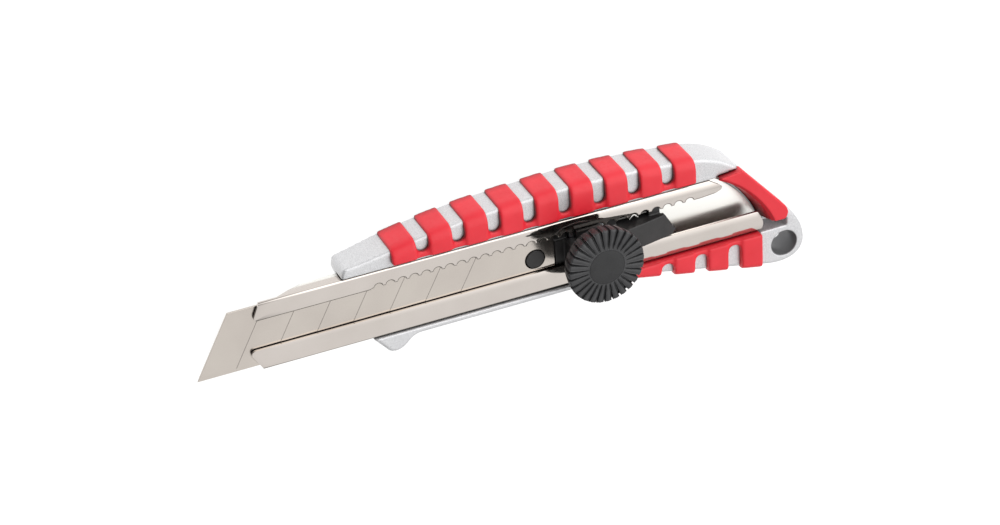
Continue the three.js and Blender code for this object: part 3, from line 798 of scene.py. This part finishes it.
def detent():
    """The bent spring leaf on edge, its crown in a notch of the upper lip."""
    y, thick = 13.5, 0.4
    crown = (SPRING_LOW.x + SPRING_HIGH.x) / 2
    lower = [(crown - 4.4, y), (crown - 1.6, y)]
    lower += quadratic((crown - 1.6, y), (crown - 0.9, y), (crown - 0.6, y + 0.6))
    lower += quadratic((crown - 0.6, y + 0.6), (crown, y + 1.55), (crown + 0.6, y + 0.6))
    lower += quadratic((crown + 0.6, y + 0.6), (crown + 0.9, y), (crown + 1.6, y)) + [(crown + 4.4, y)]
    upper = []
    for a, b, c in zip(lower, lower[1:], lower[2:]):
        run = Vector((c[0] - a[0], c[1] - a[1])).normalized()
        upper.append((b[0] - run.y * thick, b[1] + run.x * thick))
    upper = [(lower[0][0], y + thick), *upper, (lower[-1][0], y + thick)]
    leaf = prism("detent_leaf", [*lower, *reversed(upper)], SPRING_LOW.z, SPRING_HIGH.z, 0.06, 0.06, 2)
    for side in (-1, 1):
        arm = sorted((crown + side * 1.3, crown + side * 6))
        cut(leaf, block("relief", (arm[0], y - 2, -0.7), (arm[1], y + 3, 5)))
    return finish(leaf, "detent", ["detent_spring"], SPRING_STEEL, 40)


# ---- the knob ----
def knob_profile():
    """The knob's section, from its bore under the insert out, up and back in to the disc's seat."""
    face, base = KNOB_FACE, KNOB_BASE
    foot = KNOB_R - 0.6
    edge = (KNOB_R - KNOB_RIM, face - 0.12 - KNOB_RIM)
    return [
        (3.7, KNOB_LOW.z), (6.2, KNOB_LOW.z), (6.2, base), (foot - 0.6, base),
        *arc(foot - 0.6, base + 0.6, 0.6, -75, 0, 4),
        (KNOB_R - 0.4, 9.2), (KNOB_R - 0.15, 10.3), (KNOB_R, 11.2),
        *arc(*edge, KNOB_RIM, 0, 84, 8), (9.4, face - 0.08), (8.2, face - 0.03), (6.8, face), (5.7, face),
        (5.25, face), (5.04, face), (5.01, face - 0.04), (5.0, face - 0.2), (4.4, face - 0.2), (4.4, 11.1),
        (3.7, 11.1),
    ]


def groove_spots(radius, grooved):
    """The turn and the depth of each point across one groove and the land beside it."""
    outer = min(max((radius - 8) / 2, 0), 1)
    deep = grooved * (0.45 + 0.6 * outer)
    edge = GROOVE_HALF * (1 + 0.5 * outer) / max(radius, 3.0)
    across = (-1, -0.65, -0.25, 0.25, 0.65, 1)
    spots = [(offset * edge, deep * (1 - offset * offset) ** 0.6) for offset in across]
    for j in range(1, 8):
        t = j / 8
        spots.append((edge + (GROOVE_PITCH - 2 * edge) * t, grooved * 0.22 * abs(2 * t - 1) ** 2.2))
    return spots


def knob_ring(radius, z, inward, spots):
    ring = []
    for k in range(GROOVES):
        for turn, depth in spots:
            angle = (k + 0.5) * GROOVE_PITCH + turn
            r = radius + inward.x * depth
            x, y = KNOB_X + r * math.cos(angle), KNOB_Y + r * math.sin(angle)
            ring.append((x, y, z + inward.y * depth))
    return ring


def knob():
    """A turned black knob; grooves run from its disc over the rim and down the side."""
    profile = knob_profile()
    rings = []
    for i, (radius, z) in enumerate(profile):
        before, after = profile[i - 1], profile[(i + 1) % len(profile)]
        run = Vector((after[0] - before[0], after[1] - before[1])).normalized()
        inward = Vector((-run.y, run.x))
        outside = z > KNOB_BASE + 0.1 and i < len(profile) - 4
        grooved = min(max((radius - 5.3) / 0.5, 0), 1) if outside else 0
        rings.append(knob_ring(radius, z, inward, groove_spots(radius, grooved)))
    piece = between("locking_knob", rings, closed=True)
    return finish(piece, "knob", ["knob"], KNOB_BLACK, 42)


def knob_disc():
    top = KNOB_HIGH.z - 0.1
    profile = [(4.3, CAP_LOW.z), (4.3, top - 0.2), (4.96, top - 0.2), (4.98, top - 0.08), (4.95, top - 0.02)]
    profile += [(4.88, top), (2.4, top), (0.4, top)]
    piece = turned("knob_disc", KNOB_X, KNOB_Y, profile, 96)
    return finish(piece, "knob", ["knob_cap"], DISC_BLACK, 42)


# ---- inner hardware ----
def hardware():
    for end, x in zip(("front", "rear"), RIVETS_X):
        piece = ease(rivet(f"{end}_rivet", x), 0.08, 30)
        finish(piece, "handle", [f"channel_rivet_{end}"], ZINC_STEEL)
    hole = BOLT_R + 0.1
    washer = turned("washer", KNOB_X, KNOB_Y, [
        (hole, WASHER_LOW.z), (6.5, WASHER_LOW.z), (6.6, WASHER_LOW.z + 0.1), (6.6, WASHER_HIGH.z - 0.15),
        (6.45, WASHER_HIGH.z), (hole, WASHER_HIGH.z),
    ], closed=True)
    finish(washer, "washer", ["lock_washer"], ZINC_STEEL)
    insert = turned("brass_insert", KNOB_X, KNOB_Y, [
        (hole, INSERT_LOW.z), (3.4, INSERT_LOW.z), (3.6, INSERT_LOW.z + 0.2), (3.6, INSERT_HIGH.z - 0.2),
        (3.4, INSERT_HIGH.z), (hole, INSERT_HIGH.z),
    ], closed=True)
    finish(insert, "knob", ["knob_insert"], BRASS)
    plate = block("clamping_plate", PLATE_LOW, PLATE_HIGH)
    cut(plate, prism("bolt_hole", arc(KNOB_X, KNOB_Y, hole, 0, 350, 35), -5, 5))
    finish(ease(plate, 0.2), "slider", ["clamp_plate"], ZINC_STEEL)
    bolt = block("square_bolt", BOLT_LOW, (BOLT_HIGH.x, BOLT_HIGH.y, PLATE_LOW.z - 0.05))
    shank = [(BOLT_R, -2), (BOLT_R, BOLT_HIGH.z - 0.3), (2.1, BOLT_HIGH.z)]
    join(bolt, turned("shank", KNOB_X, KNOB_Y, shank, 40))
    finish(ease(bolt, 0.15), "slider", ["lock_bolt"], ZINC_STEEL)


handle_casting()
soft_grips()
tail_pad()
channel()
blade()
slider()
detent()
knob()
knob_disc()
hardware()


# ---- stage ----
def floor():
    far = 4000
    piece = block("floor", (-far, -far, -1), (far, far, 0))
    piece.data.transform(Matrix.Scale(MM, 4))
    material, _, _, shader = new_material("pale_floor", (0.3, 0.3, 0.3), 0.0, 0.9)
    shader.inputs["Specular IOR Level"].default_value = 0.1
    shader.inputs["Emission Color"].default_value = (1, 1, 1, 1)
    shader.inputs["Emission Strength"].default_value = 0.85
    piece.data.materials.append(material)


def glow(nodes, links, aim, start, stop, strength):
    """The sky's extra light near a direction; start and stop are cosines off it."""
    where = nodes.new("ShaderNodeTexCoord")
    facing = nodes.new("ShaderNodeVectorMath")
    facing.operation = "DOT_PRODUCT"
    facing.inputs[1].default_value = Vector(aim).normalized()
    links.new(where.outputs["Generated"], facing.inputs[0])
    level = nodes.new("ShaderNodeMapRange")
    level.interpolation_type = "SMOOTHSTEP"
    level.inputs["From Min"].default_value = start
    level.inputs["From Max"].default_value = stop
    level.inputs["To Min"].default_value = 0.0
    level.inputs["To Max"].default_value = strength
    links.new(facing.outputs["Value"], level.inputs["Value"])
    return level.outputs["Result"]


def total(nodes, links, values):
    made = values[0]
    for value in values[1:]:
        plus = nodes.new("ShaderNodeMath")
        plus.operation = "ADD"
        links.new(made, plus.inputs[0])
        links.new(value, plus.inputs[1])
        made = plus.outputs["Value"]
    return made


def studio():
    """A dim white room with two great softboxes: one over the cutting edge, one over the spine and tail."""
    world = bpy.data.worlds.new("studio")
    world.use_nodes = True
    nodes, links = world.node_tree.nodes, world.node_tree.links
    sky = nodes["Background"]
    sky.inputs["Color"].default_value = (1, 1, 1, 1)
    links.new(total(nodes, links, [
        glow(nodes, links, (0, 0, 1), -1.5, -1.0, 0.3),
        glow(nodes, links, (0.3, -0.5, 0.8), 0.72, 0.92, 0.72),
        glow(nodes, links, (0.55, 0.5, 0.67), 0.6, 0.95, 1.85),
    ]), sky.inputs["Strength"])
    scene = bpy.context.scene
    scene.world = world
    scene.view_settings.view_transform = "Standard"
    scene.view_settings.look = "None"


def camera():
    """A long lens above the blade's spine side, rolled so that the knife lies across the picture."""
    heading, elevation, roll = math.radians(150.35), math.radians(52.4), math.radians(-140.29)
    forward = Vector((
        math.sin(heading) * math.cos(elevation),
        math.cos(heading) * math.cos(elevation),
        -math.sin(elevation),
    ))
    lens = bpy.data.cameras.new("camera")
    lens.sensor_width = 36
    lens.lens = 100.8
    eye = bpy.data.objects.new("camera", lens)
    eye.location = at(85.05, 10.1, -1.25) - forward * 0.735
    turn = forward.to_track_quat("-Z", "Y").to_matrix() @ Matrix.Rotation(-roll, 3, "Z")
    eye.rotation_euler = turn.to_euler()
    bpy.context.scene.collection.objects.link(eye)
    bpy.context.scene.camera = eye


floor()
studio()
camera()
